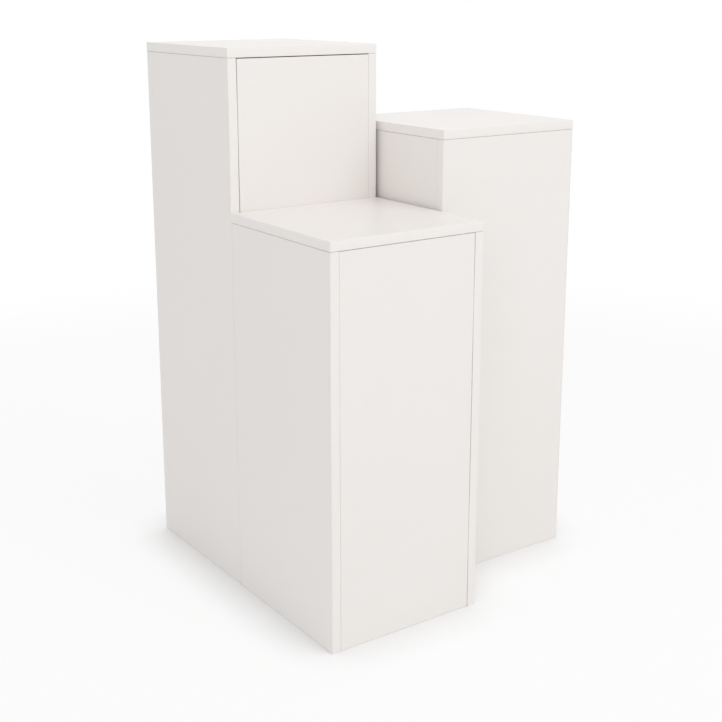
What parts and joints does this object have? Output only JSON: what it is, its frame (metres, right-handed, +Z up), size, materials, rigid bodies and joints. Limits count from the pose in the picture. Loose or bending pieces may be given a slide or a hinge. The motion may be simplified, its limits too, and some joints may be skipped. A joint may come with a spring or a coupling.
{
  "type": "tiered display plinth set",
  "caption": "Free-standing square display plinths in white laminated board, stepped in height and set close together to show goods on their flat tops.",
  "frame": {"origin": "on the floor, under the middle of the box around the three plinths", "axes": "+Z up; -Y is the front, where the low plinth stands; +X to the right, where the mid plinth stands"},
  "size_m": [0.668, 0.6604, 1.05],
  "materials": {
    "laminated_board": "satin white laminate on chipboard, edges banded to match",
    "back_board": "white-faced hardboard",
    "cam": "bare die-cast zinc",
    "cam_bolt": "zinc-plated steel",
    "dowel": "plain beech"
  },
  "bodies": {
    "tall_plinth": {"tall_top_panel": "laminated_board", "tall_left_side_panel": "laminated_board", "tall_right_side_panel": "laminated_board", "tall_front_panel": "laminated_board", "tall_back_board": "back_board", "tall_front_upper_left_cam": "cam", "tall_front_upper_left_cam_bolt": "cam_bolt", "tall_front_upper_right_cam": "cam", "tall_front_upper_right_cam_bolt": "cam_bolt", "tall_front_lower_left_cam": "cam", "tall_front_lower_left_cam_bolt": "cam_bolt", "tall_front_lower_right_cam": "cam", "tall_front_lower_right_cam_bolt": "cam_bolt", "tall_left_top_cam": "cam", "tall_left_top_cam_bolt": "cam_bolt", "tall_right_top_cam": "cam", "tall_right_top_cam_bolt": "cam_bolt", "tall_left_top_dowel": "dowel", "tall_right_top_dowel": "dowel"},
    "mid_plinth": {"mid_top_panel": "laminated_board", "mid_left_side_panel": "laminated_board", "mid_right_side_panel": "laminated_board", "mid_front_panel": "laminated_board", "mid_back_board": "back_board", "mid_front_upper_left_cam": "cam", "mid_front_upper_left_cam_bolt": "cam_bolt", "mid_front_upper_right_cam": "cam", "mid_front_upper_right_cam_bolt": "cam_bolt", "mid_front_lower_left_cam": "cam", "mid_front_lower_left_cam_bolt": "cam_bolt", "mid_front_lower_right_cam": "cam", "mid_front_lower_right_cam_bolt": "cam_bolt", "mid_left_top_cam": "cam", "mid_left_top_cam_bolt": "cam_bolt", "mid_right_top_cam": "cam", "mid_right_top_cam_bolt": "cam_bolt", "mid_left_top_dowel": "dowel", "mid_right_top_dowel": "dowel"},
    "low_plinth": {"low_top_panel": "laminated_board", "low_left_side_panel": "laminated_board", "low_right_side_panel": "laminated_board", "low_front_panel": "laminated_board", "low_back_board": "back_board", "low_front_upper_left_cam": "cam", "low_front_upper_left_cam_bolt": "cam_bolt", "low_front_upper_right_cam": "cam", "low_front_upper_right_cam_bolt": "cam_bolt", "low_front_lower_left_cam": "cam", "low_front_lower_left_cam_bolt": "cam_bolt", "low_front_lower_right_cam": "cam", "low_front_lower_right_cam_bolt": "cam_bolt", "low_left_top_cam": "cam", "low_left_top_cam_bolt": "cam_bolt", "low_right_top_cam": "cam", "low_right_top_cam_bolt": "cam_bolt", "low_left_top_dowel": "dowel", "low_right_top_dowel": "dowel"}
  },
  "joints": [
    {"name": "mid_slide", "type": "slide", "parent": "tall_plinth", "child": "mid_plinth", "axis": [1, 0, 0], "range_m": [0, 0.4]},
    {"name": "low_slide", "type": "slide", "parent": "tall_plinth", "child": "low_plinth", "axis": [0, -1, 0], "range_m": [0, 0.4]}
  ]
}
